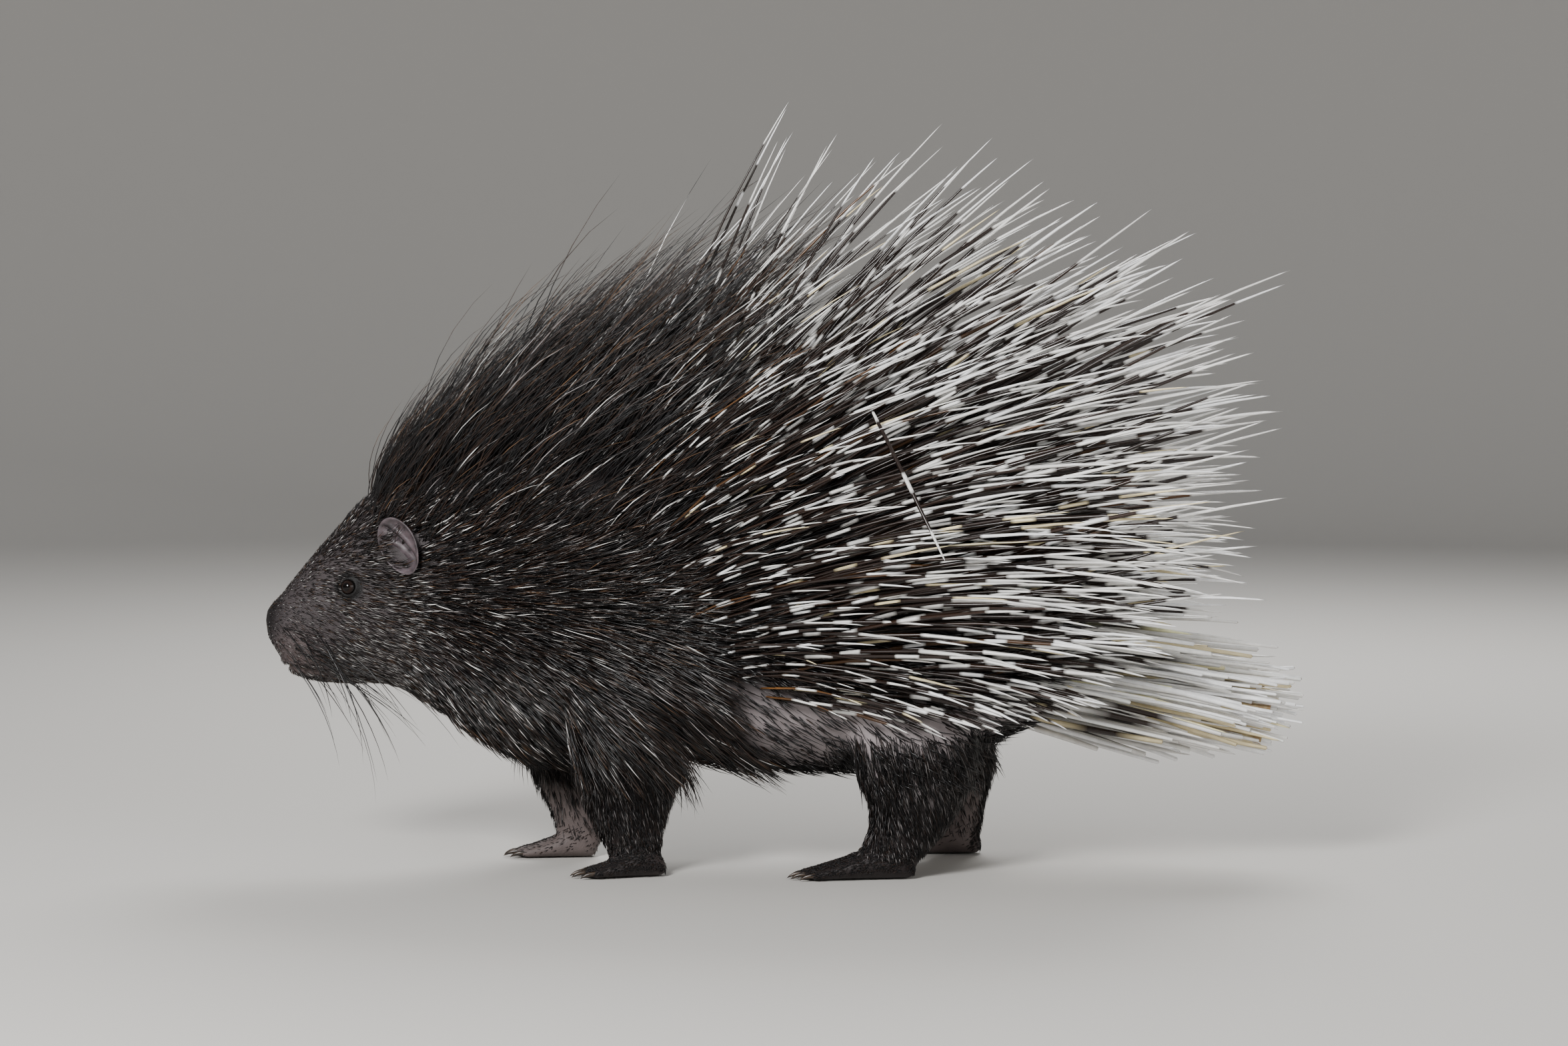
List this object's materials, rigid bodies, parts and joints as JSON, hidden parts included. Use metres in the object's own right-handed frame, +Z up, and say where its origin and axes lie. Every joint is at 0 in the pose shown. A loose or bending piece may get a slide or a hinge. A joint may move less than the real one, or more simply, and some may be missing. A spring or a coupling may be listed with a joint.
{
  "type": "Indian crested porcupine model",
  "caption": "Life-size still model of an Indian crested porcupine, walking with its crest and banded quills half raised.",
  "frame": {"origin": "on the floor under the middle of the whole animal's length and width", "axes": "-X towards the head, +X towards the tail, -Y towards the animal's left side, +Z up"},
  "size_m": [1.048, 0.444, 0.761],
  "materials": {
    "fur": "short, dark brown, bristly fur",
    "ear_skin": "bare, thin, greyish pink skin",
    "eye": "wet, glossy, near black",
    "quill": "smooth horn, banded black and white",
    "tail_quill": "smooth white horn with ivory stains",
    "foot_skin": "bare, creased skin with horn claws"
  },
  "bodies": {
    "root": {"head": "fur", "ear_left": "ear_skin", "ear_right": "ear_skin", "eye_left": "eye", "eye_right": "eye", "neck": "fur", "torso": "quill", "tail": "tail_quill", "foreleg_left": "fur", "forefoot_left": "foot_skin", "foreleg_right": "fur", "forefoot_right": "foot_skin", "hindleg_left": "fur", "hindfoot_left": "foot_skin", "hindleg_right": "fur", "hindfoot_right": "foot_skin"}
  },
  "joints": []
}
